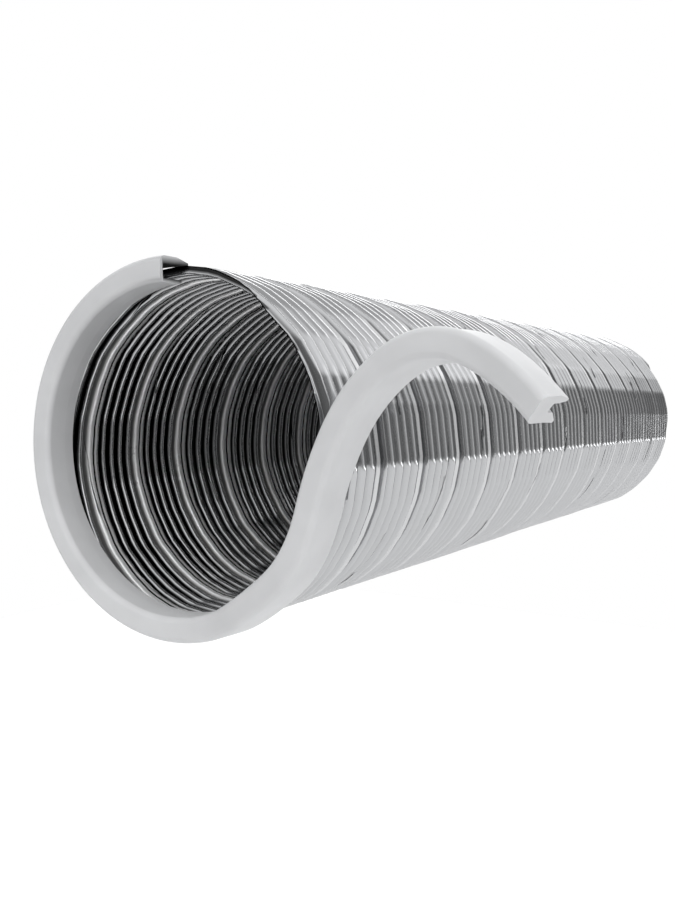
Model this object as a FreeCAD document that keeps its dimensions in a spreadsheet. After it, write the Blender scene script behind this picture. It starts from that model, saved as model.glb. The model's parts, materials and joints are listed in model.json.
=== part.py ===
import FreeCAD, Part
import Sketcher
import math
import os
from FreeCAD import Vector, Rotation, Placement

# Flexible air duct: a thin aluminium strip, fluted lengthways and wound into
# a helical tube, with a plastic edge trim partly pushed onto its front cut
# edge. Millimetres. The duct axis is X, the front (trimmed) end is at -X and
# the rear end, clamped on a spigot, is at the origin.

doc = FreeCAD.newDocument("air_duct")
sheet = doc.addObject("Spreadsheet::Sheet", "Sizes")

sizes = {
    # the wound strip: the bore is measured to the inner folds
    "bore_radius": 62.0,
    "wall": 0.4,
    "flute_depth": 2.6,
    "flank_run": 2.8,
    "flank_count": 10,
    "seam_flat": 4.4,
    "seam_ridge": 0.9,
    "seam_ridge_half": 1.0,
    "seam_phase": 186.0,
    "seam_offset": 2.11,
    # lengths along the axis, from the rear end to the front cut edge
    "collar_length": 48.0,
    "ring_length": 12.0,
    "joint_length": 24.0,
    "joint_count": 11,
    "joint_gap": 0.2,
    "front_length": 21.6,
    # the edge trim: a channel with a thick web and flaring lips, whose groove
    # takes the whole fluted edge of the duct
    "trim_depth": 13.0,
    "trim_web": 7.0,
    "trim_cheek_out": 2.5,
    "trim_cheek_in": 3.5,
    "trim_flare": 0.55,
    "trim_lip": 1.0,
    "trim_corner": 2.0,
    "trim_clearance": 0.1,
    "trim_groove_straight": 2.6,
    "trim_edge_gap": 0.8,
    "trim_start": 86.6,
    "trim_lift_off": 274.0,
    # the peeled tail: seven pieces of one length, each with one bend
    # in degrees across the duct's axis and one along it
    "tail_piece": 27.5,
    "tail_flex": 10.0,
    "tail_bend_a": -24.0,
    "tail_bend_b": -10.0,
    "tail_bend_c": -44.0,
    "tail_bend_d": 17.0,
    "tail_bend_e": 31.0,
    "tail_bend_f": 57.0,
    "tail_bend_g": 26.0,
    "tail_lift_a": -18.0,
    "tail_lift_b": 9.0,
    "tail_lift_c": 10.0,
    "tail_lift_d": -2.0,
    "tail_lift_e": 0.0,
    "tail_lift_f": 4.0,
    "tail_lift_g": 7.0,
}
row = 1
for name, value in sizes.items():
    sheet.set("A%d" % row, name)
    sheet.set("B%d" % row, str(value))
    sheet.setAlias("B%d" % row, name)
    row += 1
formulas = {
    "root_radius": "=bore_radius + wall",
    "crest_radius": "=bore_radius + wall + flute_depth",
    "pitch": "=flank_run * flank_count + seam_flat",
    "duct_length": "=collar_length + joint_count * joint_length"
                   " + (joint_count - 1) * ring_length + front_length",
    "slab_start": "=1.25 * (flank_run * flank_count + seam_flat)",
    "trim_groove": "=wall + flute_depth + 2 * trim_clearance",
    "trim_groove_shift": "=(trim_cheek_in - trim_cheek_out) / 2",
    "trim_half_width": "=(wall + flute_depth + 2 * trim_clearance"
                       " + trim_cheek_in + trim_cheek_out) / 2",
    "trim_lip_half": "=(wall + flute_depth + 2 * trim_clearance"
                     " + trim_cheek_in + trim_cheek_out) / 2 + trim_flare",
    "trim_radius": "=bore_radius + (wall + flute_depth) / 2"
                   " - (trim_cheek_in - trim_cheek_out) / 2",
}
for name, text in formulas.items():
    sheet.set("A%d" % row, name)
    sheet.set("B%d" % row, text)
    sheet.setAlias("B%d" % row, name)
    row += 1
doc.recompute()


def size(name):
    return float(sheet.get(name))


# The fluted wall, three turns long: every corner of the fold line runs along
# its own helix, and each fold face is ruled between two of them.
tolerance = 0.001
pitch = size("pitch")
crest = size("crest_radius")
root = size("root_radius")
wall = size("wall")
run = size("flank_run")
flat_half = size("seam_flat") / 2


def outer_turn():
    line = [(0.0, root + size("seam_ridge"))]
    line.append((size("seam_ridge_half"), root))
    line.append((flat_half, root))
    for flank in range(int(size("flank_count"))):
        radius = crest if flank % 2 == 0 else root
        line.append((flat_half + run * (flank + 1), radius))
    line.append((pitch - size("seam_ridge_half"), root))
    return line


def inner_turn():
    line = [(flat_half, root - wall)]
    for flank in range(int(size("flank_count"))):
        radius = crest if flank % 2 == 0 else root
        line.append((flat_half + run * (flank + 1), radius - wall))
    return line


def repeated(turn, first, last):
    line = []
    for count in range(-1, 5):
        for along, radius in turn:
            along = along + count * pitch
            if first - tolerance <= along <= last + tolerance:
                line.append((along, radius))
    return line


def helix(along, radius):
    edge = Part.makeHelix(pitch, pitch, radius).Edges[0].copy()
    edge.translate(Vector(0, 0, along))
    return edge


def cap(outer, inner, along):
    ring = outer + inner[::-1] + outer[:1]
    return Part.Face(Part.makePolygon([Vector(r, 0, a + along) for a, r in ring]))


def fluted_wall():
    start = flat_half
    turns = 3
    outer = repeated(outer_turn(), start, start + turns * pitch)
    inner = repeated(inner_turn(), start, start + turns * pitch)
    faces = []
    for line in (outer, inner):
        for here, there in zip(line, line[1:]):
            faces.append(Part.makeRuledSurface(helix(*here), helix(*there)))
    faces.append(Part.makeRuledSurface(helix(*outer[0]), helix(*inner[0])))
    faces.append(Part.makeRuledSurface(helix(*outer[-1]), helix(*inner[-1])))
    near = start + pitch + tolerance
    far = start + (turns - 1) * pitch - tolerance
    faces.append(cap([p for p in outer if p[0] <= near],
                     [p for p in inner if p[0] <= near], 0))
    faces.append(cap([p for p in outer if p[0] >= far],
                     [p for p in inner if p[0] >= far], pitch))
    skin = Part.makeCompound(faces)
    skin.sewShape(tolerance)
    solid = Part.Solid(skin.Shells[0])
    # the helix is made about Z; the duct lies along X with its winding kept
    turn = Rotation(Vector(1, 1, 1), 120)
    return solid.transformGeometry(Placement(Vector(), turn).toMatrix())


strip = doc.addObject("Part::Feature", "fluted_strip")
strip.Shape = fluted_wall()


def cut_section(name, length_name):
    slab = doc.addObject("Part::Box", name + "_slab")
    slab.setExpression("Length", "Sizes." + length_name)
    slab.setExpression("Width", "4 * Sizes.crest_radius")
    slab.setExpression("Height", "4 * Sizes.crest_radius")
    slab.setExpression("Placement.Base.x", "Sizes.slab_start")
    slab.setExpression("Placement.Base.y", "-2 * Sizes.crest_radius")
    slab.setExpression("Placement.Base.z", "-2 * Sizes.crest_radius")
    section = doc.addObject("Part::Common", name)
    section.Base = strip
    section.Tool = slab
    return section


collar_section = cut_section("collar_section", "collar_length")
ring_section = cut_section("ring_section", "ring_length")
joint_section = cut_section("joint_section", "joint_length - Sizes.joint_gap")
front_section = cut_section("front_section", "front_length")

subparts = []


def place_section(label, section, front_face):
    """Put one section with its forward face at an X given as an expression.

    The turn about X keeps the winding in step with the rest of the duct.
    """
    item = doc.addObject("Part::Compound", label)
    item.Label = label
    item.Links = [section]
    turn = ("360 * (" + front_face + " - Sizes.slab_start + Sizes.duct_length"
            " - Sizes.seam_offset) / Sizes.pitch + Sizes.seam_phase")
    item.setExpression(
        "Placement",
        "create(<<placement>>; create(<<vector>>; " + front_face
        + " - Sizes.slab_start; 0; 0); create(<<rotation>>;"
        " create(<<vector>>; 1; 0; 0); mod(" + turn + "; 360)))")
    subparts.append(item)
    return item


place_section("duct_collar_rear", collar_section, "0 - Sizes.collar_length")
for number in range(1, int(size("joint_count")) + 1):
    back = ("0 - Sizes.collar_length - %d * (Sizes.joint_length"
            " + Sizes.ring_length)" % (number - 1))
    place_section("duct_flex_%02d" % number, joint_section,
                  back + " - Sizes.joint_length")
    if number < int(size("joint_count")):
        place_section("duct_ring_%02d" % number, ring_section,
                      back + " - Sizes.joint_length - Sizes.ring_length")
place_section("duct_collar_front", front_section, "0 - Sizes.duct_length")

# The trim's section, drawn once. Sketch x is outward from the duct axis and
# sketch y runs back along the duct, from the web face to the lips.
sketch = doc.addObject("Sketcher::SketchObject", "trim_section")
depth = size("trim_depth")
half = size("trim_half_width")
lip_half = size("trim_lip_half")
lip = size("trim_lip")
corner = size("trim_corner")
groove = size("trim_groove") / 2
shift = size("trim_groove_shift")
web = size("trim_web")
straight = size("trim_groove_straight")
middle = depth / 2
corners = [
    ("web_in", -half + corner, -middle),
    ("web_out", half - corner, -middle),
    ("side_out", half, -middle + corner),
    ("tip_out", lip_half, middle),
    ("mouth_out", lip_half - lip, middle),
    ("throat_out", shift + groove, -middle + web + straight),
    ("floor_out", shift + groove, -middle + web),
    ("floor_in", shift - groove, -middle + web),
    ("throat_in", shift - groove, -middle + web + straight),
    ("mouth_in", -lip_half + lip, middle),
    ("tip_in", -lip_half, middle),
    ("side_in", -half, -middle + corner),
]
points = [Vector(x, y, 0) for name, x, y in corners]
order = [name for name, x, y in corners]
lines = {}
for index, name in enumerate(order):
    here = points[index]
    there = points[(index + 1) % len(points)]
    if name in ("web_out", "side_in"):
        side = 1 if name == "web_out" else -1
        centre = Vector(side * (half - corner), -middle + corner, 0)
        first, last = (-math.pi / 2, 0) if side > 0 else (math.pi, 1.5 * math.pi)
        circle = Part.Circle(centre, Vector(0, 0, 1), corner)
        lines[name] = sketch.addGeometry(Part.ArcOfCircle(circle, first, last), False)
    else:
        lines[name] = sketch.addGeometry(Part.LineSegment(here, there), False)
for index, name in enumerate(order):
    following = order[(index + 1) % len(order)]
    sketch.addConstraint(Sketcher.Constraint(
        "Coincident", lines[name], 2, lines[following], 1))
where = {
    "web_in": ("Sizes.trim_half_width - Sizes.trim_corner", "Sizes.trim_depth / 2"),
    "web_out": ("Sizes.trim_half_width - Sizes.trim_corner", "Sizes.trim_depth / 2"),
    "side_out": ("Sizes.trim_half_width",
                 "Sizes.trim_depth / 2 - Sizes.trim_corner"),
    "side_in": ("Sizes.trim_half_width",
                "Sizes.trim_depth / 2 - Sizes.trim_corner"),
    "tip_out": ("Sizes.trim_lip_half", "Sizes.trim_depth / 2"),
    "tip_in": ("Sizes.trim_lip_half", "Sizes.trim_depth / 2"),
    "mouth_out": ("Sizes.trim_lip_half - Sizes.trim_lip", "Sizes.trim_depth / 2"),
    "mouth_in": ("Sizes.trim_lip_half - Sizes.trim_lip", "Sizes.trim_depth / 2"),
    "throat_out": ("Sizes.trim_groove / 2 + Sizes.trim_groove_shift",
                   "Sizes.trim_web + Sizes.trim_groove_straight"
                   " - Sizes.trim_depth / 2"),
    "throat_in": ("Sizes.trim_groove / 2 - Sizes.trim_groove_shift",
                  "Sizes.trim_web + Sizes.trim_groove_straight"
                  " - Sizes.trim_depth / 2"),
    "floor_out": ("Sizes.trim_groove / 2 + Sizes.trim_groove_shift",
                  "Sizes.trim_web - Sizes.trim_depth / 2"),
    "floor_in": ("Sizes.trim_groove / 2 - Sizes.trim_groove_shift",
                 "Sizes.trim_web - Sizes.trim_depth / 2"),
}
for index, name in enumerate(order):
    point = points[index]
    for axis, value, text in (("DistanceX", point.x, where[name][0]),
                              ("DistanceY", point.y, where[name][1])):
        if value >= 0:
            number = sketch.addConstraint(Sketcher.Constraint(
                axis, -1, 1, lines[name], 1, value))
        else:
            number = sketch.addConstraint(Sketcher.Constraint(
                axis, lines[name], 1, -1, 1, -value))
        sketch.setExpression("Constraints[%d]" % number, text)
for name in ("web_out", "side_in"):
    number = sketch.addConstraint(Sketcher.Constraint("Radius", lines[name], corner))
    sketch.setExpression("Constraints[%d]" % number, "Sizes.trim_corner")

# The seated trim follows the front cut edge from the top, round the far side
# and the bottom, to where it starts to lift off.
radius = size("trim_radius")
middle_x = -size("duct_length") - size("trim_web") - size("trim_edge_gap") + depth / 2


def ring_frame(angle):
    """The trim's frame at an angle about the duct: out, back and onward."""
    turn = math.radians(angle)
    out = Vector(0, -math.cos(turn), math.sin(turn))
    back = Vector(1, 0, 0)
    return out * radius + Vector(middle_x, 0, 0), out, back


def frame_placement(point, out, back):
    onward = out.cross(back)
    return Placement(point, Rotation(out, back, onward, "XYZ"))


seated = doc.addObject("Part::Revolution", "trim_seated")
seated.Label = "trim_seated"
seated.Source = sketch
seated.Axis = Vector(0, -1, 0)
seated.Solid = True
seated.setExpression("Base.x", "0 - Sizes.trim_radius")
seated.setExpression("Angle", "Sizes.trim_lift_off - Sizes.trim_start")
seated.Placement = frame_placement(*ring_frame(size("trim_start")))
subparts.append(seated)


def bend(label, point, out, back, bend_per_mm, lift_per_mm, letter, share):
    """Sweep the section round one arc from a frame; return the frame after it."""
    curve = math.hypot(bend_per_mm, lift_per_mm)
    item = doc.addObject("Part::Revolution", label)
    item.Label = label
    item.Source = sketch
    item.Solid = True
    item.Base = Vector(bend_per_mm, lift_per_mm, 0) * (1 / curve ** 2)
    item.Axis = Vector(-lift_per_mm, bend_per_mm, 0) * (1 / curve)
    total = "sqrt(Sizes.tail_bend_%s ^ 2 + Sizes.tail_lift_%s ^ 2)" % (letter, letter)
    item.setExpression("Angle", total + " * (" + share + ") / Sizes.tail_piece")
    place = frame_placement(point, out, back)
    item.Placement = place
    subparts.append(item)
    length = {"Sizes.tail_piece": size("tail_piece"),
              "Sizes.tail_flex": size("tail_flex"),
              "Sizes.tail_piece - Sizes.tail_flex":
                  size("tail_piece") - size("tail_flex")}[share]
    centre = place.multVec(item.Base)
    axis = place.Rotation.multVec(item.Axis)
    step = Rotation(axis, math.degrees(curve * length))
    return (centre + step.multVec(point - centre),
            step.multVec(out), step.multVec(back))


def per_mm(name):
    return math.radians(size(name)) / size("tail_piece")


frame = ring_frame(size("trim_lift_off"))
joints_at = []
for index, letter in enumerate("abcdefg"):
    turn_edge = per_mm("tail_bend_" + letter)
    turn_lift = per_mm("tail_lift_" + letter)
    if index < 2:
        frame = bend("trim_lift_%d" % (index + 1), *frame, turn_edge, turn_lift,
                     letter, "Sizes.tail_piece")
    else:
        joints_at.append(frame)
        frame = bend("trim_flex_%d" % (index - 1), *frame, turn_edge, turn_lift,
                     letter, "Sizes.tail_flex")
        joints_at.append(frame)
        frame = bend("trim_tail_%d" % (index - 1), *frame, turn_edge, turn_lift,
                     letter, "Sizes.tail_piece - Sizes.tail_flex")

doc.recompute()

for item in doc.Objects:
    if "Invalid" in item.State or "Error" in item.State:
        raise RuntimeError("not recomputed: " + item.Label)
os.makedirs("parts", exist_ok=True)
for item in subparts:
    if item.Shape.isNull() or not item.Shape.isValid():
        raise RuntimeError("bad shape: " + item.Label)
    if len(item.Shape.Solids) != 1:
        raise RuntimeError("not one solid: " + item.Label)
for item in subparts:
    item.Shape.Solids[0].exportStep("parts/" + item.Label + ".step")
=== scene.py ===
"""Looks of a flexible air duct: a fluted, lock-seamed foil tube and its edge trim."""

import json
import math
import random

import bmesh
import bpy
import numpy as np
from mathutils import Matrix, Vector

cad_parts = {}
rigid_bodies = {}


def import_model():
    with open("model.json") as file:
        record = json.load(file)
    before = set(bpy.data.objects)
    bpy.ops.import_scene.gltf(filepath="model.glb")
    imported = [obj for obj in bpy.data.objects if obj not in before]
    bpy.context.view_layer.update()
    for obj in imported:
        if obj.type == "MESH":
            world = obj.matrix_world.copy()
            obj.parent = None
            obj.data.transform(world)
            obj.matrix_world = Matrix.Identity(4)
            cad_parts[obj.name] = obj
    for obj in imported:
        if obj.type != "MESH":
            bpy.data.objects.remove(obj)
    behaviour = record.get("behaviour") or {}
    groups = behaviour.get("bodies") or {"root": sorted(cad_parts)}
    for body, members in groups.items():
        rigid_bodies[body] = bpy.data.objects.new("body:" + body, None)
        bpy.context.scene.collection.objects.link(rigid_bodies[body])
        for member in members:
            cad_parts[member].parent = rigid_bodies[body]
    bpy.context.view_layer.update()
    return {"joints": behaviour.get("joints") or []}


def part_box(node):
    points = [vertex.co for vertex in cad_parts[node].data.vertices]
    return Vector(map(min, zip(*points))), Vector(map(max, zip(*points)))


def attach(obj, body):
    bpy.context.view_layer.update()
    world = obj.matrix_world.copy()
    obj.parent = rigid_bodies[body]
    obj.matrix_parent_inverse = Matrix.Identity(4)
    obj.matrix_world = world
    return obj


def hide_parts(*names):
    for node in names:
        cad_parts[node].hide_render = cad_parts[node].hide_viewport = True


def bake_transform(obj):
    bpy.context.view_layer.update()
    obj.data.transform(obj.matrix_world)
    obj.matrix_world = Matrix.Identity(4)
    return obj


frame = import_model()

MM = 0.001

# Where the duct is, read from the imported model. The duct's axis is X, and
# "along" is the distance back from the front cut edge.
FRONT_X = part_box("duct_collar_front")[0].x
REAR_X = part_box("duct_collar_rear")[1].x
LENGTH = REAR_X - FRONT_X
CREST = (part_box("duct_collar_rear")[1].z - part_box("duct_collar_rear")[0].z) / 2

# The strip: five flutes and a lock seam in each turn.
DEPTH = 2.6 * MM
FLUTE = 5.85 * MM
FLUTES = 5
CREST_GAP = 9.0 * MM
PITCH = (FLUTES - 1) * FLUTE + CREST_GAP
SEAM_PHASE = 186.0
SEAM_OFFSET = 1.0 * MM
FOIL = 0.35 * MM

# On the far side the turns lean back at the front edge, and forward past it.
LEAN_BACK = 4.0 * MM
LEAN = 14.5 * MM
LEAN_LENGTH = 80 * MM

# The creases that run the length of the duct and make its outline many-sided.
# Angles are in degrees round the axis, from the near side up over the top. The
# creases are placed unevenly and twist by degrees per metre. Each corner and dent
# is a little off the round, by millimetres between these limits.
FACETS = 29
FIRST_FACET = 18.0
CREASE_START = -4.0
CREASE_TWIST = -1.1 / (65 * MM)
CREASE_ROUND = 2.0
CREASE_UNEVEN = 1.8
CORNER_LOWEST = -0.16
CORNER_HIGHEST = 0.10
DENT = 0.36
STRAIGHT_FACETS = (-1, 0, 1, 2)
STRAIGHT_SHARE = 0.2

rng = random.Random(7)


def crease_angles():
    """Where the creases start at the front edge."""
    step = (360 - FIRST_FACET) / (FACETS - 1)
    second = CREASE_START + FIRST_FACET
    rest = [second + step * i + rng.uniform(-CREASE_UNEVEN, CREASE_UNEVEN)
            for i in range(1, FACETS - 1)]
    return [CREASE_START, second] + rest


CREASES = np.array(crease_angles())
CORNER_OUT = np.array([rng.uniform(CORNER_LOWEST, CORNER_HIGHEST) * MM
                       for _ in range(FACETS)])
TURNS = int(LENGTH / PITCH) + 3
DENTS = np.array([[rng.uniform(-DENT, DENT) * MM for _ in range(TURNS + 2)]
                  for _ in range(FACETS)])
# the foil lies straightest beside the first crease
for facet in STRAIGHT_FACETS:
    DENTS[facet] *= STRAIGHT_SHARE


def smooth(t):
    """An even ease from 0 to 1 as t goes from 0 to 1."""
    t = np.clip(t, 0, 1)
    return t * t * (3 - 2 * t)


# A flute is mostly a half sine, with a little of a softer wave in it.
FLUTE_SINE = 0.8
FLUTE_SOFT = 0.2


def soft_wave(t):
    """A wave that is 0 at t 0 and t 1, and 1 halfway."""
    return 0.5 - 0.5 * np.cos(2 * np.pi * t)


def flute_shape(t):
    """Height of a flute, 0 at its roots and 1 at its crest; t runs 0 to 1."""
    return FLUTE_SINE * np.sin(np.pi * t) + FLUTE_SOFT * soft_wave(t)


# The seam, across the strip from its middle. Outside, a folded ridge stands on
# the flat; inside, the flat shows a thin gap.
SEAM_HALF = CREST_GAP / 2
FLAT_HALF = 3.3 * MM
FLAT_FADE = 0.4 * MM
RIDGE_FOOT = -1.75 * MM
RIDGE_SHOULDER = -1.35 * MM
RIDGE_TOP = -0.35 * MM
RIDGE_BACK = 0.25 * MM
RIDGE_HIGH = 2.45 * MM
RIDGE_SLOPE = math.tan(math.radians(42))
RIDGE_ROUND = 0.08 * MM
RIDGE_FADE = 0.16 * MM
# On the seam's ridge outside, the lighter scuffed colour is a painted highlight.
RIDGE_SCUFF_AND_HIGHLIGHT = 0.22
SLIT_AT = 0.4 * MM
SLIT_HALF = 0.5 * MM
SLIT_DEEP = 0.25 * MM
# SLIT_DARK and SLIT_FADE say how far the gap's painted shade reaches.
SLIT_DARK = 0.45 * MM
SLIT_FADE = 0.15 * MM
SLOPE_REACH = 0.6 * MM
SLOPE_FADE = 0.3 * MM

# The painted shade in the folds: how dark it is outside, and from which share of their depth it
# turns dark inside. The slope beside a seam keeps SLOPE_SHADE of that.
FOLD_SHADE = 0.26
FOLD_START = 0.10
FOLD_SPAN = 0.45
SLOPE_SHADE = 0.7

# How scuffed the flutes are inside, with their lighter colour as a painted highlight; the scuff
# ends 1 / CREST_NARROW of the depth up
CREST_SCUFF_AND_HIGHLIGHT = 0.3
CREST_NARROW = 12


def seam_distance(u):
    """Distance across the strip from the middle of the nearest seam."""
    return (u + PITCH / 2) % PITCH - PITCH / 2


def lean(along, angle):
    """How far a point lies behind its place in an even winding."""
    far = 0.5 - 0.5 * np.cos(np.radians(angle))
    return far * (LEAN_BACK - LEAN * smooth(along / LEAN_LENGTH))


def strip_place(along, angle):
    """Distance across the strip from the middle of a seam."""
    seam = SEAM_OFFSET + PITCH * (180 - angle - SEAM_PHASE) / 360
    return along - lean(along, angle) - seam


def flute_height(u, inside):
    """Height above the root line, without the seam's ridge."""
    u = np.abs(seam_distance(u))
    t = ((u - SEAM_HALF) / FLUTE + 0.5) % 1.0
    rise = np.sin(np.pi / 2 * np.clip(
        (u - FLAT_HALF) / (SEAM_HALF - FLAT_HALF), 0, 1))
    shape = smooth(soft_wave(t)) if inside else flute_shape(t)
    return DEPTH * np.where(u < SEAM_HALF, rise, shape)


def strip_height(u, inside):
    """Height above the root line at u metres from a seam's middle, with the ridge
    outside and the gap inside."""
    height = flute_height(u, inside)
    u = seam_distance(u)
    if inside:
        slit = 1 - smooth(np.abs(u - SLIT_AT) / SLIT_HALF)
        return height + SLIT_DEEP * slit
    shoulder = RIDGE_HIGH - RIDGE_SLOPE * (RIDGE_TOP - RIDGE_SHOULDER)
    return height + np.interp(u, (RIDGE_FOOT, RIDGE_SHOULDER, RIDGE_TOP, RIDGE_BACK),
                              (0, shoulder, RIDGE_HIGH, 0))


def strip_shade(u, inside):
    """How much painted shade a point gets for lying in a fold or in the seam's gap: 0 in the
    open, at most 1 inside the duct and at most FOLD_SHADE outside."""
    level = flute_height(u, inside) / DEPTH
    if not inside:
        return FOLD_SHADE * (1 - level) ** 2 * (np.abs(seam_distance(u)) > FLAT_HALF)
    level = smooth((level - FOLD_START) / FOLD_SPAN)
    level = level * (1 - (1 - SLOPE_SHADE) * strip_slope(u))
    return np.maximum(level, strip_slit(u))


def strip_slit(u):
    """1 in the thin gap that the seam shows inside the duct, which gets painted shade."""
    return 1 - smooth((np.abs(seam_distance(u) - SLIT_AT) - SLIT_DARK) / SLIT_FADE)


def strip_slope(u):
    """1 on the slope that leads up to the front side of a seam."""
    u = seam_distance(u)
    return smooth((u + SEAM_HALF + SLOPE_REACH) / SLOPE_FADE) * (u < 0)


def strip_scuff_and_highlight(u, inside):
    """How scuffed the foil is, with its lighter colour painted as a highlight: most on the
    seam's band inside the duct, less on the flutes there and on the seam's ridge outside."""
    if not inside:
        u = seam_distance(u)
        begun = smooth((u - RIDGE_SHOULDER) / RIDGE_FADE + 1)
        return RIDGE_SCUFF_AND_HIGHLIGHT * begun * smooth((RIDGE_TOP - u) / RIDGE_FADE + 1)
    flat = smooth((FLAT_HALF - np.abs(seam_distance(u))) / FLAT_FADE)
    flat = np.maximum(flat, strip_slope(u)) * (1 - strip_slit(u))
    crest = CREST_SCUFF_AND_HIGHLIGHT * smooth(1 - CREST_NARROW * flute_height(u, True) / DEPTH)
    return np.maximum(flat, crest * (np.abs(seam_distance(u)) > SEAM_HALF))


def facet_scale(angle, along):
    """How far out the many-sided outline is at an angle, as a share."""
    a = (angle - CREASES[0] - CREASE_TWIST * along) % 360
    starts = CREASES - CREASES[0]
    ends = np.append(starts[1:], 360.0)
    i = np.clip(np.searchsorted(starts, a, side="right") - 1, 0, FACETS - 1)
    j = (i + 1) % FACETS
    turn = along / PITCH + 1
    k = np.clip(turn.astype(int), 0, TURNS)
    f = smooth(turn - k)
    r_one = CREST + CORNER_OUT[i] + DENTS[i, k] * (1 - f) + DENTS[i, k + 1] * f
    r_two = CREST + CORNER_OUT[j] + DENTS[j, k] * (1 - f) + DENTS[j, k + 1] * f
    span = np.radians(ends[i] - starts[i])
    part = np.radians(a - starts[i])
    radius = r_one * r_two * np.sin(span) / (
        r_one * np.sin(part) + r_two * np.sin(span - part))
    return radius / CREST


def wall_radius(along, angle, inside):
    """Distance of one face of the wall from the axis."""
    radius = CREST - DEPTH - (FOIL if inside else 0)
    radius = radius + strip_height(strip_place(along, angle), inside)
    return radius * facet_scale(angle, along)


NEARBY = 0.02 * MM
NEARBY_TURN = 0.1


def wall_points(along, angle, inside):
    """Points and normals of one face of the wall, as two arrays."""
    small, turn = NEARBY, NEARBY_TURN
    r = wall_radius(along, angle, inside)
    slope = (wall_radius(along + small, angle, inside)
             - wall_radius(along - small, angle, inside)) / (2 * small)
    swing = (wall_radius(along, angle + turn, inside)
             - wall_radius(along, angle - turn, inside)) / math.radians(2 * turn)
    a = np.radians(angle)
    out = np.stack([np.zeros_like(a), -np.cos(a), np.sin(a)], -1)
    onward = np.stack([np.zeros_like(a), np.sin(a), np.cos(a)], -1)
    point = out * r[..., None]
    point[..., 0] = FRONT_X + along
    normal = out - onward * (swing / r)[..., None]
    normal[..., 0] = -slope
    normal /= np.linalg.norm(normal, axis=-1, keepdims=True)
    return point, -normal if inside else normal


# Where the profile is sampled, as shares of a flute, of the rise beside the seam
# and of the gap, and on the flat as distances from its middle. It is closest where
# the foil bends most.
INSIDE_FLUTE = (0.0, 0.08, 0.13, 0.18, 0.24, 0.32, 0.4, 0.5, 0.6, 0.68, 0.76, 0.82, 0.87, 0.92)
OUTSIDE_FLUTE = (0.0, 0.14, 0.28, 0.4, 0.46, 0.5, 0.54, 0.6, 0.72, 0.86)
RISE = (0.0, 0.12, 0.3, 0.5, 0.7, 0.88)
GAP = (-1, -0.5, 0, 0.5, 1)
INSIDE_FLAT = (-1.2 * MM, 2.0 * MM)
OUTSIDE_FLAT = (1.2 * MM, 2.2 * MM)


def strip_stations(inside):
    """Where the profile is sampled in one turn, from the seam's middle."""
    flute = INSIDE_FLUTE if inside else OUTSIDE_FLUTE
    points = []
    for n in range(FLUTES - 1):
        points += [SEAM_HALF + (n + t) * FLUTE for t in flute]
    points.append(SEAM_HALF + (FLUTES - 1) * FLUTE)
    for t in RISE:
        points.append(FLAT_HALF + t * (SEAM_HALF - FLAT_HALF))
        points.append(-FLAT_HALF - t * (SEAM_HALF - FLAT_HALF))
    if inside:
        points += [SLIT_AT + t * SLIT_HALF for t in GAP]
        points += [SLIT_AT + t * (SLIT_DARK + SLIT_FADE) for t in (-1, 1)]
        points += INSIDE_FLAT
        points += [-SEAM_HALF - SLOPE_REACH, -SEAM_HALF - SLOPE_REACH + SLOPE_FADE]
    else:
        for bend in (RIDGE_FOOT, RIDGE_SHOULDER, RIDGE_TOP, RIDGE_BACK):
            points += [bend - RIDGE_ROUND, bend + RIDGE_ROUND]
        points.append((RIDGE_SHOULDER + RIDGE_TOP) / 2)
        points += OUTSIDE_FLAT
    return np.array(sorted(p % PITCH for p in points))


STATIONS = {side: strip_stations(side) for side in (False, True)}


COLUMN_SHARES = (0, 0.34, 0.66, 1)


def columns():
    """Angles of the mesh's columns: close beside each crease, and between."""
    out = []
    for i in range(FACETS):
        here = CREASES[i]
        there = CREASES[i + 1] if i + 1 < FACETS else CREASES[0] + 360
        first, last = here + CREASE_ROUND, there - CREASE_ROUND
        out += [first + (last - first) * t for t in COLUMN_SHARES]
    return np.array(out)


COLUMNS = columns()

# A cut closer to a vertex than SNAP goes through it. The rows' places are worked
# out in SETTLING rounds. The strip map jumps WRAP degrees below the near side.
SNAP = 1e-6
SETTLING = 12
WRAP = 90.0


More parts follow.
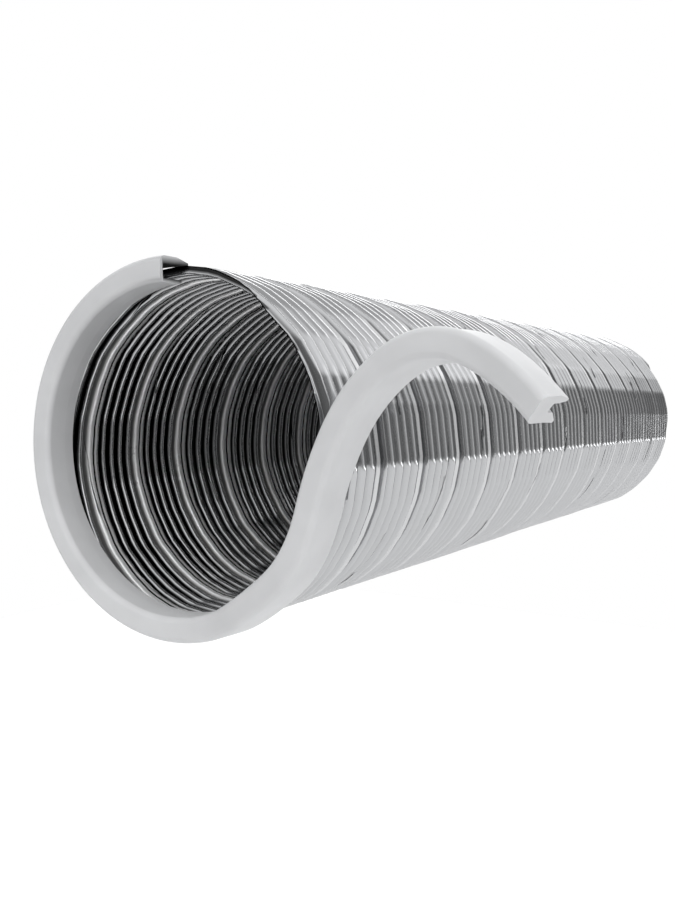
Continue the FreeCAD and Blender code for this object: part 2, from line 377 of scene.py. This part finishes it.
def skin(start, end, inside):
    """One face of the wall between two planes: its points, its faces and its edge.

    The grid's rows follow the flutes round the duct, and its columns follow the
    creases along it. It is made a little too long and then cut to length."""
    stations = STATIONS[inside]
    per_turn = len(stations)
    count = (2 * TURNS + 2) * per_turn
    index = np.arange(count)
    offset = (index // per_turn - TURNS) * PITCH + stations[index % per_turn]
    along = np.zeros((count, len(COLUMNS)))
    for _ in range(SETTLING):
        angle = COLUMNS[None, :] + CREASE_TWIST * along
        along = along + offset[:, None] - strip_place(along, angle)
    low = (along < start).sum(0).min() - 2
    high = count - (along > end).sum(0).min() + 2
    along = along[low:high]
    points = wall_points(along, COLUMNS[None, :] + CREASE_TWIST * along, inside)[0]
    ids = np.arange(along.size).reshape(along.shape)
    quads = [np.stack([ids[:-1, :-1], ids[1:, :-1], ids[1:, 1:], ids[:-1, 1:]], -1)]
    # the last column meets the first one a turn further forward
    last, first = ids[per_turn:, -1], ids[:-per_turn, 0]
    quads.append(np.stack([last[:-1], last[1:], first[1:], first[:-1]], -1))
    faces = np.concatenate([q.reshape(-1, 4) for q in quads])
    if inside:
        faces = faces[:, ::-1]

    mesh = bmesh.new()
    made = [mesh.verts.new(point) for point in points.reshape(-1, 3)]
    for quad in faces:
        mesh.faces.new([made[v] for v in quad])
    for plane, inner in ((start, True), (end, False)):
        bmesh.ops.bisect_plane(
            mesh, geom=mesh.verts[:] + mesh.edges[:] + mesh.faces[:], dist=SNAP,
            plane_co=(FRONT_X + plane, 0, 0), plane_no=(1, 0, 0),
            clear_inner=inner, clear_outer=not inner)
    bmesh.ops.delete(mesh, geom=[v for v in mesh.verts if not v.link_faces],
                     context="VERTS")
    mesh.verts.index_update()
    points = np.array([v.co for v in mesh.verts])
    rings = [[v.index for v in face.verts] for face in mesh.faces]
    edge = [v.index for v in mesh.verts if v.is_boundary]
    mesh.free()
    return points, rings, edge


def wrapped(angle):
    """Angles with their jump at the bottom of the duct, where it shows least."""
    return (angle + WRAP) % 360 - WRAP


def rim(outer, inner, facing):
    """Faces that join two rings of (angle, vertex) in one plane."""
    outer, inner = sorted(outer), sorted(inner)
    outer.append((outer[0][0] + 360, outer[0][1]))
    inner.append((inner[0][0] + 360, inner[0][1]))
    faces = []
    i = j = 0
    while i < len(outer) - 1 or j < len(inner) - 1:
        if j == len(inner) - 1 or (i < len(outer) - 1
                                   and outer[i + 1][0] < inner[j + 1][0]):
            face = [outer[i][1], inner[j][1], outer[i + 1][1]]
            i += 1
        else:
            face = [outer[i][1], inner[j][1], inner[j + 1][1]]
            j += 1
        faces.append(face if facing < 0 else face[::-1])
    return faces


# The inner face's strip map is set this far off the outer face's.
INNER_MAP = 0.7


def foil_mesh(name, start, end):
    """One length of duct wall between two planes, closed all round."""
    outer, rings, edge = skin(start, end, False)
    inner, inner_rings, inner_edge = skin(start, end, True)
    shift = len(outer)
    edge = np.array(edge + [v + shift for v in inner_edge])
    rings += [[v + shift for v in ring] for ring in inner_rings]
    points = np.concatenate([outer, inner])
    inside = np.arange(len(points)) >= shift
    along = points[:, 0] - FRONT_X
    angle = wrapped(np.degrees(np.arctan2(points[:, 2], -points[:, 1])))
    normals = np.where(inside[:, None], wall_points(along, angle, True)[1],
                       wall_points(along, angle, False)[1])
    corners = np.array([v for ring in rings for v in ring])
    corner_normals = [normals[corners]]
    for plane, facing in ((start, -1), (end, 1)):
        ring = edge[np.abs(along[edge] - plane) < (end - start) / 2]
        ends = [[(angle[v], int(v)) for v in ring if inside[v] == side]
                for side in (False, True)]
        faces = rim(ends[0], ends[1], facing)
        rings += faces
        corner_normals.append(np.tile([float(facing), 0, 0], (3 * len(faces), 1)))
    corners = np.array([v for ring in rings for v in ring])
    firsts = np.repeat([ring[0] for ring in rings], [len(ring) for ring in rings])
    turned_to = angle[firsts] + (angle[corners] - angle[firsts] + 180) % 360 - 180

    mesh = bpy.data.meshes.new(name)
    mesh.from_pydata(points.tolist(), [], rings)
    mesh.shade_smooth()
    mesh.normals_split_custom_set(np.concatenate(corner_normals).tolist())
    across = strip_place(along, angle)
    # Stored per point: the painted shade of the folds and the seam's gap, and the scuffs with
    # their painted highlight.
    for label, values in (("painted_fold_shade", strip_shade), ("seam_flat", strip_scuff_and_highlight)):
        layer = mesh.attributes.new(label, "FLOAT", "POINT")
        found = np.where(inside, values(across, True), values(across, False))
        layer.data.foreach_set("value", found.astype(np.float32))
    flat_map = mesh.uv_layers.new(name="strip")
    uv = np.stack([CREST * np.radians(turned_to) + INNER_MAP * inside[corners],
                   along[corners] + PITCH * turned_to / 360], -1)
    flat_map.data.foreach_set("uv", uv.reshape(-1))
    obj = bpy.data.objects.new(name, mesh)
    bpy.context.scene.collection.objects.link(obj)
    return obj


# Materials. A noise runs from 0 to 1 and mostly lies within NOISE_RANGE; a bump is
# its strength and its height.
NOISE_RANGE = (0.3, 0.7)
BARE_FOIL = (0.46, 0.465, 0.475, 1)
# Scuffs are rougher and less metallic, and lighter as a painted highlight.
SCUFF_AND_HIGHLIGHT_FOIL = (0.92, 0.925, 0.93, 1)
SCUFFED_METALLIC = 0.5
# The painted shade of the folds: HALF_FOLD_SHADE at HALF_FOLD of the mask, DEEP_FOLD_SHADE
# where it is full.
HALF_FOLD = 0.45
HALF_FOLD_SHADE = (0.34, 0.34, 0.34, 1)
DEEP_FOLD_SHADE = (0.03, 0.03, 0.03, 1)
ROLLED_LINES = (60, 2600)
ROLLED_DETAIL = 2.0
ROLLED_BUMP = (0.12, 0.04 * MM)
ROLLED_ROUGHNESS = (0.07, 0.12)
ROLLED_SHADE = (0.93, 1.0)
BLOTCHES = (45, 90)
BLOTCH_DETAIL = 3.0
BLOTCH_ROUGHNESS = (0.03, 0.09)
SCUFF_ROUGHNESS = (0.12, 0.30)
TRIM_DARKER = (0.53, 0.535, 0.545, 1)
TRIM_LIGHTER = (0.57, 0.575, 0.585, 1)
TRIM_ROUGHNESS = (0.56, 0.68)
TRIM_GLOSS = 0.3
TRIM_GLOW = 0.12
TRIM_GLOW_DEPTH = 2 * MM
TRIM_CLOUDS = 60
TRIM_CLOUD_DETAIL = 2
TRIM_CLOUD_RANGE = (0.35, 0.65)
TRIM_GRAIN = 2600
TRIM_GRAIN_DETAIL = 1
TRIM_BUMP = (0.10, 0.03 * MM)
# Painted shade for the open end of the groove.
GROOVE_DARK = (0.02, 0.02, 0.02, 1)


def node_material(name):
    """A new material with its nodes, its links and its shader."""
    material = bpy.data.materials.new(name)
    material.use_nodes = True
    nodes = material.node_tree.nodes
    shader = nodes["Principled BSDF"]
    return material, nodes, material.node_tree.links, shader


def foil_material():
    """Bright rolled strip: fine lines along it, duller and darker in the folds where shade is
    painted, and scuffs whose lighter colour is a painted highlight.
    """
    material, nodes, links, shader = node_material("rolled_aluminium")
    where = nodes.new("ShaderNodeUVMap")
    where.uv_map = "strip"

    def noise(scales, detail):
        scale = nodes.new("ShaderNodeMapping")
        scale.inputs["Scale"].default_value = (*scales, 1)
        links.new(where.outputs["UV"], scale.inputs["Vector"])
        texture = nodes.new("ShaderNodeTexNoise")
        texture.inputs["Scale"].default_value = 1.0
        texture.inputs["Detail"].default_value = detail
        links.new(scale.outputs["Vector"], texture.inputs["Vector"])
        return texture.outputs["Fac"]

    def spread(value, low, high):
        change = nodes.new("ShaderNodeMapRange")
        change.inputs["From Min"].default_value = NOISE_RANGE[0]
        change.inputs["From Max"].default_value = NOISE_RANGE[1]
        change.inputs["To Min"].default_value = low
        change.inputs["To Max"].default_value = high
        links.new(value, change.inputs["Value"])
        return change.outputs["Result"]

    def combine(operation, one, two):
        sum_node = nodes.new("ShaderNodeMath")
        sum_node.operation = operation
        links.new(one, sum_node.inputs[0])
        links.new(two, sum_node.inputs[1])
        return sum_node.outputs["Value"]

    rolled = noise(ROLLED_LINES, ROLLED_DETAIL)
    blotches = noise(BLOTCHES, BLOTCH_DETAIL)
    rough = combine("ADD", spread(rolled, *ROLLED_ROUGHNESS),
                    spread(blotches, *BLOTCH_ROUGHNESS))
    flat = nodes.new("ShaderNodeAttribute")
    flat.attribute_name = "seam_flat"
    scuffs = spread(blotches, *SCUFF_ROUGHNESS)
    links.new(combine("ADD", rough, combine("MULTIPLY", flat.outputs["Fac"], scuffs)),
              shader.inputs["Roughness"])
    bare = nodes.new("ShaderNodeMapRange")
    bare.inputs["To Min"].default_value = 1.0
    bare.inputs["To Max"].default_value = SCUFFED_METALLIC
    links.new(flat.outputs["Fac"], bare.inputs["Value"])
    links.new(bare.outputs["Result"], shader.inputs["Metallic"])

    def mixed(blend, factor, one, two):
        mix = nodes.new("ShaderNodeMix")
        mix.data_type = "RGBA"
        mix.blend_type = blend
        for value, socket in ((factor, "Factor"), (one, "A"), (two, "B")):
            if isinstance(value, (float, tuple)):
                mix.inputs[socket].default_value = value
            else:
                links.new(value, mix.inputs[socket])
        return mix.outputs["Result"]

    # Painted shade of the folds and the seam's gap, darkening the base colour.
    fold = nodes.new("ShaderNodeAttribute")
    fold.attribute_name = "painted_fold_shade"
    dark = nodes.new("ShaderNodeValToRGB")
    dark.color_ramp.elements[0].color = (1, 1, 1, 1)
    dark.color_ramp.elements[1].color = DEEP_FOLD_SHADE
    middle = dark.color_ramp.elements.new(HALF_FOLD)
    middle.color = HALF_FOLD_SHADE
    links.new(fold.outputs["Fac"], dark.inputs["Fac"])
    # The scuffs' lighter colour, a painted highlight.
    metal = mixed("MIX", flat.outputs["Fac"], BARE_FOIL, SCUFF_AND_HIGHLIGHT_FOIL)
    metal = mixed("MULTIPLY", 1.0, metal, dark.outputs["Color"])
    metal = mixed("MULTIPLY", 1.0, metal, spread(rolled, *ROLLED_SHADE))
    links.new(metal, shader.inputs["Base Color"])

    bump = nodes.new("ShaderNodeBump")
    bump.inputs["Strength"].default_value = ROLLED_BUMP[0]
    bump.inputs["Distance"].default_value = ROLLED_BUMP[1]
    links.new(rolled, bump.inputs["Height"])
    links.new(bump.outputs["Normal"], shader.inputs["Normal"])
    return material


def trim_material():
    """Soft dull plastic with a faint moulded grain and slightly uneven grey, with painted shade
    in the open end of its groove."""
    material, nodes, links, shader = node_material("grey_trim_plastic")
    shader.inputs["Subsurface Weight"].default_value = TRIM_GLOW
    shader.inputs["Subsurface Radius"].default_value = (TRIM_GLOW_DEPTH,) * 3
    where = nodes.new("ShaderNodeTexCoord")
    cloud = nodes.new("ShaderNodeTexNoise")
    cloud.inputs["Scale"].default_value = TRIM_CLOUDS
    cloud.inputs["Detail"].default_value = TRIM_CLOUD_DETAIL
    links.new(where.outputs["Object"], cloud.inputs["Vector"])
    colours = nodes.new("ShaderNodeValToRGB")
    colours.color_ramp.elements[0].position = TRIM_CLOUD_RANGE[0]
    colours.color_ramp.elements[0].color = TRIM_DARKER
    colours.color_ramp.elements[1].position = TRIM_CLOUD_RANGE[1]
    colours.color_ramp.elements[1].color = TRIM_LIGHTER
    links.new(cloud.outputs["Fac"], colours.inputs["Fac"])
    # Painted shade in the open end of the groove.
    groove = nodes.new("ShaderNodeAttribute")
    groove.attribute_name = "groove_shade"
    shaded = nodes.new("ShaderNodeMix")
    shaded.data_type = "RGBA"
    links.new(groove.outputs["Fac"], shaded.inputs["Factor"])
    links.new(colours.outputs["Color"], shaded.inputs["A"])
    shaded.inputs["B"].default_value = GROOVE_DARK
    links.new(shaded.outputs["Result"], shader.inputs["Base Color"])
    grain = nodes.new("ShaderNodeTexNoise")
    grain.inputs["Scale"].default_value = TRIM_GRAIN
    grain.inputs["Detail"].default_value = TRIM_GRAIN_DETAIL
    links.new(where.outputs["Object"], grain.inputs["Vector"])
    rough = nodes.new("ShaderNodeMapRange")
    rough.inputs["To Min"].default_value = TRIM_ROUGHNESS[0]
    rough.inputs["To Max"].default_value = TRIM_ROUGHNESS[1]
    links.new(cloud.outputs["Fac"], rough.inputs["Value"])
    links.new(rough.outputs["Result"], shader.inputs["Roughness"])
    shader.inputs["Specular IOR Level"].default_value = TRIM_GLOSS
    bump = nodes.new("ShaderNodeBump")
    bump.inputs["Strength"].default_value = TRIM_BUMP[0]
    bump.inputs["Distance"].default_value = TRIM_BUMP[1]
    links.new(grain.outputs["Fac"], bump.inputs["Height"])
    links.new(bump.outputs["Normal"], shader.inputs["Normal"])
    return material


FOIL_MATERIAL = foil_material()
TRIM_MATERIAL = trim_material()


def finished(obj, material):
    """The piece, with its material on it."""
    obj.data.materials.append(material)
    return obj


# The duct wall: one piece over each joint, split at the middles of the rings
duct_joints = [j for j in frame["joints"] if j["child"].startswith("duct")]
cuts = []
for joint in duct_joints:
    node = joint["deforming_nodes"][0]["node"]
    low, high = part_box(node)
    cuts.append((joint, node, low.x - FRONT_X, high.x - FRONT_X))
# the pieces meet at the middle of each ring
ring_middles = [(cuts[k][2] + cuts[k + 1][3]) / 2 for k in range(len(cuts) - 1)]
ring_half = cuts[0][2] - ring_middles[0]
edges = [cuts[0][3] + ring_half] + ring_middles + [cuts[-1][2] - ring_half]

piece = finished(foil_mesh("duct_rear_wall", edges[0], LENGTH), FOIL_MATERIAL)
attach(piece, "duct_rear")
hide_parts("duct_collar_rear")
piece = finished(foil_mesh("duct_front_wall", 0.0, edges[-1]), FOIL_MATERIAL)
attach(piece, "duct_front")
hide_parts("duct_collar_front")
for number, (joint, node, low, high) in enumerate(cuts, 1):
    start, end = edges[number], edges[number - 1]
    piece = finished(foil_mesh("duct_wall_%02d" % number, start, end), FOIL_MATERIAL)
    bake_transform(piece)
    stands = [node]
    if number < len(cuts):
        stands.append("duct_ring_%02d" % number)
    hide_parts(*stands)


# The trim: one section swept round the cut edge and on along the loose tail.
# Its web lies in front of the cut edge, and its groove holds the foil.
TRIM_DEPTH = 13.0 * MM
TRIM_HALF = 4.6 * MM
WEB = 7.0 * MM
THROAT = 2.6 * MM
GROOVE = 3.2 * MM
GROOVE_SHIFT = 0.5 * MM
LIP = 0.9 * MM
LIP_HALF = 4.95 * MM
SEATED_LIP = 4.3 * MM
SIDE_FROM_THROAT = 1 * MM
FRONT_ROUND = 2.2 * MM
SIDE_ROUND = 6 * MM
LIP_ROUND = 0.35 * MM
THROAT_ROUND = 1.2 * MM
GROOVE_ROUND = 0.8 * MM

# The end where it starts, which is hollow, with its inner lip short and its outer
# lip long
END_LENGTH = 16 * MM
END_WEB = 1.4 * MM
END_GROOVE = 5.0 * MM
END_SHIFT = -1.2 * MM
END_LIP = 3.1 * MM
END_SHORT = 2.0 * MM
END_LONG = 1.5 * MM
THROAT_OUT = 4.3 * MM
GROOVE_FADE = 1 * MM

# Where it is seated
WEB_PROUD = 7.8 * MM
TRIM_RADIUS = CREST - 2.0 * MM
TRIM_MIDDLE = FRONT_X - WEB_PROUD + TRIM_DEPTH / 2
TRIM_START = 89.7
LIFT_OFF = 274.0
SEAT_START = math.radians(TRIM_START - LIFT_OFF) * TRIM_RADIUS
SEAT_STEP = 1.5

# The tail, in equal lengths. Each bends by these degrees towards the trim's outer
# lip, or inwards where they are negative, and lifts by these towards its open side.
# The tail twists towards its end, where its cut is slanted and its inner lip turns in.
TAIL_PIECE = 27.5 * MM
TAIL_FLEX = 10 * MM
TAIL_STEP = 1.0 * MM
TAIL_EASE = 7 * MM
TAIL_BENDS = (-24, -10, -44, 17, 29, 61, 23)
TAIL_LIFTS = (-18, 9, 10, -2, 1, 6, -3)
TAIL_LENGTH = TAIL_PIECE * len(TAIL_BENDS)
TAIL_TWIST = 17
TWIST_LENGTH = 60 * MM
TAIL_SLANT = 1.5 * MM
TAIL_SHIFT = -0.9 * MM
TAIL_LIP = 3.5 * MM
LIPS_OPEN = 1.5


# A corner that turns less than this, in radians, is left straight.
NO_CORNER = 0.01


def rounded(corners, steps=5):
    """A closed outline with each (x, y, radius) corner rounded."""
    out = []
    n = len(corners)
    for i, (x, y, radius) in enumerate(corners):
        p = np.array([x, y])
        a = np.array(corners[i - 1][:2]) - p
        b = np.array(corners[(i + 1) % n][:2]) - p
        a, b = a / np.linalg.norm(a), b / np.linalg.norm(b)
        half = math.acos(max(-1, min(1, float(a @ b)))) / 2
        reach = radius / math.tan(half)
        centre = p + (a + b) / np.linalg.norm(a + b) * radius / math.sin(half)
        from_a, from_b = p + a * reach - centre, p + b * reach - centre
        arc = math.pi - 2 * half
        for k in range(steps + 1):
            t = k / steps
            if arc < NO_CORNER:
                v = (1 - t) * from_a + t * from_b
            else:
                v = (math.sin((1 - t) * arc) * from_a
                     + math.sin(t * arc) * from_b) / math.sin(arc)
            out.append(centre + v)
    return out


def trim_section(open_lips, open_end, tail_end):
    """The section. Its lips flare where nothing is between them, its groove is
    deep and wide at the end where it starts, and its inner lip turns in at the
    end of the tail; each share runs 0 to 1."""
    back, front = TRIM_DEPTH / 2, -TRIM_DEPTH / 2
    floor = front + WEB + (END_WEB - WEB) * open_end
    throat = front + WEB + THROAT
    half_groove = (GROOVE + (END_GROOVE - GROOVE) * open_end) / 2
    middle = GROOVE_SHIFT + TAIL_SHIFT * open_lips + END_SHIFT * open_end
    left, right = middle - half_groove, middle + half_groove
    inner_lip = SEATED_LIP + (LIP_HALF - SEATED_LIP) * open_lips
    outer_lip = inner_lip + (END_LIP - inner_lip) * open_end
    inner_lip += (TAIL_LIP - inner_lip) * tail_end
    inner_back = back - END_SHORT * open_end
    outer_back = back + END_LONG * open_end
    corners = [
        (-TRIM_HALF, front, FRONT_ROUND),
        (TRIM_HALF, front, FRONT_ROUND),
        (TRIM_HALF, throat - SIDE_FROM_THROAT, SIDE_ROUND),
        (outer_lip, outer_back, LIP_ROUND),
        (outer_lip - LIP, outer_back, LIP_ROUND),
        (right, throat, THROAT_ROUND),
        (right, floor, GROOVE_ROUND),
        (left, floor, GROOVE_ROUND),
        (left, throat, THROAT_ROUND),
        (LIP - inner_lip, inner_back, LIP_ROUND),
        (-inner_lip, inner_back, LIP_ROUND),
        (-TRIM_HALF, throat - SIDE_FROM_THROAT, SIDE_ROUND),
    ]
    return rounded(corners)


def seat_frame(angle):
    """The trim's middle, outward and backward directions at an angle of its seat."""
    a = math.radians(angle)
    out = np.array([0, -math.cos(a), math.sin(a)])
    point = out * TRIM_RADIUS + np.array([TRIM_MIDDLE, 0, 0])
    return point, out, np.array([1.0, 0, 0])


def turned(v, axis, angle):
    """A vector turned round an axis by an angle in radians."""
    c, s = math.cos(angle), math.sin(angle)
    return v * c + np.cross(axis, v) * s + axis * (axis @ v) * (1 - c)


def tail_frames(step):
    """Frames along the tail from the lift-off, with its bends eased together."""
    count = int(round(TAIL_LENGTH / step))
    ds = TAIL_LENGTH / count

    def curve(values, along, before):
        """How sharply the tail turns, in radians per metre, eased from before the
        tail and from each length to the next."""
        here = before
        level = before
        for k, value in enumerate(values):
            following = math.radians(value) / TAIL_PIECE
            t = min(1.0, max(0.0, (along - k * TAIL_PIECE) / (2 * TAIL_EASE) + 0.5))
            level += (following - here) * t * t * (3 - 2 * t)
            here = following
        return level

    point, out, back = seat_frame(LIFT_OFF)
    frames = [(0.0, point, out, back)]
    for k in range(count):
        along = (k + 0.5) * ds
        bend = curve(TAIL_BENDS, along, -1 / TRIM_RADIUS)
        lift = curve(TAIL_LIFTS, along, 0.0)
        onward = np.cross(out, back)
        spin = np.cross(onward, bend * out + lift * back)
        rate = np.linalg.norm(spin)
        axis = spin / rate
        middle = turned(onward, axis, rate * ds / 2)
        point = point + middle * ds
        out = turned(out, axis, rate * ds)
        back = turned(back, axis, rate * ds)
        reached = (along + 0.5 * ds - TAIL_LENGTH + TWIST_LENGTH) / TWIST_LENGTH
        twist = math.radians(TAIL_TWIST) * float(smooth(reached))
        way = np.cross(out, back)
        frames.append(((k + 1) * ds, point, turned(out, way, twist),
                       turned(back, way, twist)))
    return frames


def sweep(name, frames):
    """The trim's section carried along frames, with capped ends."""
    verts, faces, normals, shade = [], [], [], []
    for along, point, out, back in frames:
        open_lips = smooth(along / (LIPS_OPEN * TAIL_PIECE))
        open_end = 1 - smooth((along - SEAT_START) / END_LENGTH)
        tail_end = smooth((along - TAIL_LENGTH) / TAIL_PIECE + 1)
        section = np.array(trim_section(open_lips, open_end, tail_end))
        run = np.roll(section, -1, 0) - np.roll(section, 1, 0)
        run /= np.linalg.norm(run, axis=1)[:, None]
        onward = np.cross(out, back)
        slant = TAIL_SLANT * tail_end
        for (x, y), (across, deep) in zip(section, run):
            skewed = onward * slant * (TRIM_HALF - x) / (2 * TRIM_HALF)
            verts.append(tuple(point + out * x + back * y - skewed))
            normals.append(tuple(out * deep - back * across))
            # Painted shade in the groove, near the end where the trim starts.
            between = smooth((THROAT_OUT - abs(x)) / GROOVE_FADE)
            inside = between * smooth((y + TRIM_DEPTH / 2) / GROOVE_FADE)
            shade.append(float(inside * open_end))
    n = len(section)
    for r in range(len(frames) - 1):
        for k in range(n):
            m = (k + 1) % n
            faces.append((r * n + k, r * n + m, (r + 1) * n + m, (r + 1) * n + k))
    faces.append(tuple(reversed(range(n))))
    last = (len(frames) - 1) * n
    faces.append(tuple(last + k for k in range(n)))
    mesh = bpy.data.meshes.new(name)
    mesh.from_pydata(verts, [], faces)
    mesh.shade_smooth()
    ends = [np.cross(frames[0][3], frames[0][2]), np.cross(frames[-1][2], frames[-1][3])]
    corner_normals = []
    for ring in faces:
        if len(ring) == 4:
            corner_normals += [normals[v] for v in ring]
        else:
            corner_normals += [tuple(ends[0 if ring[0] < n else 1])] * n
    mesh.normals_split_custom_set(corner_normals)
    mesh.attributes.new("groove_shade", "FLOAT", "POINT").data.foreach_set("value", shade)
    obj = bpy.data.objects.new(name, mesh)
    bpy.context.scene.collection.objects.link(obj)
    return obj


TAIL = tail_frames(TAIL_STEP)
RIGID_MIDDLE = (TAIL_PIECE + TAIL_FLEX) / 2


def middle_of(length):
    """Which frame of the tail is the middle of one of its rigid lengths."""
    along = length * TAIL_PIECE + RIGID_MIDDLE
    return min(range(len(TAIL)), key=lambda k: abs(TAIL[k][0] - along))


seat_count = int((LIFT_OFF - TRIM_START) / SEAT_STEP)
seat = []
for k in range(seat_count):
    angle = TRIM_START + (LIFT_OFF - TRIM_START) * k / seat_count
    seat.append((math.radians(angle - LIFT_OFF) * TRIM_RADIUS, *seat_frame(angle)))
trim_joints = [j for j in frame["joints"] if j["child"].startswith("tail")]
splits = [middle_of(k + 1) for k in range(len(trim_joints) + 1)]
splits[-1] = len(TAIL) - 1
# For this body the list of the piece's two ends is turned round, to start at the far end.
# With all joints at their lower limits the axis between these two bodies is found too
# roughly from the near end, and the piece would come off.
BENT_FROM_FAR_END = "tail_4"
piece = finished(sweep("trim_front", seat + TAIL[:splits[0] + 1]), TRIM_MATERIAL)
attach(piece, "duct_front")
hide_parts("trim_seated", "trim_lift_1", "trim_lift_2")
for k, joint in enumerate(trim_joints):
    part = TAIL[splits[k]:splits[k + 1] + 1]
    piece = finished(sweep("trim_tail_piece_%d" % (k + 1), part), TRIM_MATERIAL)
    ending = TAIL[middle_of(k + 2)]
    ends = [(joint["parent"], tuple(part[0][1])), (joint["child"], tuple(ending[1]))]
    if joint["child"] == BENT_FROM_FAR_END:
        ends.reverse()
    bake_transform(piece)
    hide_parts("trim_flex_%d" % (k + 1), "trim_tail_%d" % (k + 1))


# The stage: a pale floor below the duct, a soft sky above dim walls, and soft lights
FLOOR_HALF = 1.3
FLOOR_BELOW = 0.42
FLOOR_COLOUR = (0.93, 0.93, 0.93, 1)
FLOOR_ROUGHNESS = 0.9
bpy.ops.mesh.primitive_plane_add(size=2 * FLOOR_HALF, location=(FRONT_X / 2, 0, -FLOOR_BELOW))
floor = bpy.context.object
floor.name = "floor"
floor_white, _, _, floor_shader = node_material("floor_white")
floor_shader.inputs["Base Color"].default_value = FLOOR_COLOUR
floor_shader.inputs["Roughness"].default_value = FLOOR_ROUGHNESS
floor.data.materials.append(floor_white)

# The world's brightness by height: dim walls up to WALL_TOP, the sky between
# SKY_HEIGHTS, and about half of that overhead. The camera itself sees plain white.
WALL_GREY = 0.21
WALL_TOP = 0.29
SKY_GREY = 1.3
SKY_HEIGHTS = (0.50, 0.80)
OVERHEAD_GREY = 0.7
OVERHEAD = 0.95
world = bpy.data.worlds.new("studio")
bpy.context.scene.world = world
world.use_nodes = True
nodes, links = world.node_tree.nodes, world.node_tree.links
direction = nodes.new("ShaderNodeTexCoord")
split = nodes.new("ShaderNodeSeparateXYZ")
links.new(direction.outputs["Generated"], split.inputs["Vector"])
height = nodes.new("ShaderNodeValToRGB")
height.color_ramp.interpolation = "EASE"
height.color_ramp.elements[0].position = WALL_TOP
height.color_ramp.elements[0].color = (WALL_GREY, WALL_GREY, WALL_GREY, 1)
height.color_ramp.elements[1].position = OVERHEAD
height.color_ramp.elements[1].color = (OVERHEAD_GREY, OVERHEAD_GREY, OVERHEAD_GREY, 1)
for position in SKY_HEIGHTS:
    stop = height.color_ramp.elements.new(position)
    stop.color = (SKY_GREY, SKY_GREY, SKY_GREY, 1)
links.new(split.outputs["Z"], height.inputs["Fac"])
seen = nodes.new("ShaderNodeLightPath")
choice = nodes.new("ShaderNodeMix")
choice.data_type = "RGBA"
links.new(seen.outputs["Is Camera Ray"], choice.inputs["Factor"])
links.new(height.outputs["Color"], choice.inputs["A"])
choice.inputs["B"].default_value = (1, 1, 1, 1)
links.new(choice.outputs["Result"], nodes["Background"].inputs["Color"])
bpy.context.scene.view_settings.view_transform = "Standard"

MIDDLE = Vector((FRONT_X / 2, 0, 0))


def panel(name, azimuth, elevation, wide, high, radiance, distance=3.0, diffuse=True):
    """A soft rectangular light, turned to face the duct.

    The azimuth is in degrees from +X towards +Y; the width and height are the
    angles in degrees that it fills, seen from the duct."""
    a, e = math.radians(azimuth), math.radians(elevation)
    way = Vector((math.cos(a) * math.cos(e), math.sin(a) * math.cos(e), math.sin(e)))
    data = bpy.data.lights.new(name, "AREA")
    data.shape = "RECTANGLE"
    data.size = 2 * distance * math.tan(math.radians(wide / 2))
    data.size_y = 2 * distance * math.tan(math.radians(high / 2))
    data.energy = radiance * math.pi * data.size * data.size_y
    lamp = bpy.data.objects.new(name, data)
    lamp.location = MIDDLE + way * distance
    lamp.rotation_euler = (-way).to_track_quat("-Z", "Y").to_euler()
    lamp.visible_camera = False
    lamp.visible_diffuse = diffuse
    bpy.context.scene.collection.objects.link(lamp)


panel("far_side_light", azimuth=16, elevation=27, wide=40, high=32, radiance=3.0, diffuse=False)
panel("near_side_light", azimuth=-112, elevation=12, wide=28, high=60, radiance=0.28)
panel("seam_light", azimuth=-109, elevation=5, wide=6, high=70, radiance=0.5, distance=2.8)
panel("low_light", azimuth=-75, elevation=-13.6, wide=60, high=3.0, radiance=5.0, distance=2.3)


def even_light(name, strength, angle, way):
    """A very soft light for the floor and the plastic, with no reflection."""
    data = bpy.data.lights.new(name, "SUN")
    data.energy = strength
    data.angle = math.radians(angle)
    lamp = bpy.data.objects.new(name, data)
    lamp.rotation_euler = Vector(way).to_track_quat("-Z", "Y").to_euler()
    lamp.visible_glossy = False
    bpy.context.scene.collection.objects.link(lamp)


even_light("even_above", strength=0.7, angle=60, way=(0.15, 0.2, -1))
even_light("even_front", strength=0.9, angle=50, way=(0.8, 0.45, -0.4))

# The camera: its place is in crest radii from the middle of the trim's front face,
# and its focal length is in pixels of the photograph.
PHOTO_FOCAL = 936.16
PHOTO_LONG_SIDE = 900
SENSOR = 36.0
CAMERA_AHEAD = 3.717
CAMERA_ASIDE = 3.470
CAMERA_ABOVE = 0.301
LOOKING = Vector((0.8433, 0.5342, -0.0591))
WEB_FACE_X = FRONT_X - WEB_PROUD
camera_data = bpy.data.cameras.new("camera")
camera_data.sensor_width = SENSOR
camera_data.lens = PHOTO_FOCAL / PHOTO_LONG_SIDE * SENSOR
camera = bpy.data.objects.new("camera", camera_data)
camera.location = (WEB_FACE_X - CAMERA_AHEAD * CREST, -CAMERA_ASIDE * CREST,
                   CAMERA_ABOVE * CREST)
camera.rotation_euler = LOOKING.to_track_quat("-Z", "Y").to_euler()
bpy.context.scene.collection.objects.link(camera)
bpy.context.scene.camera = camera
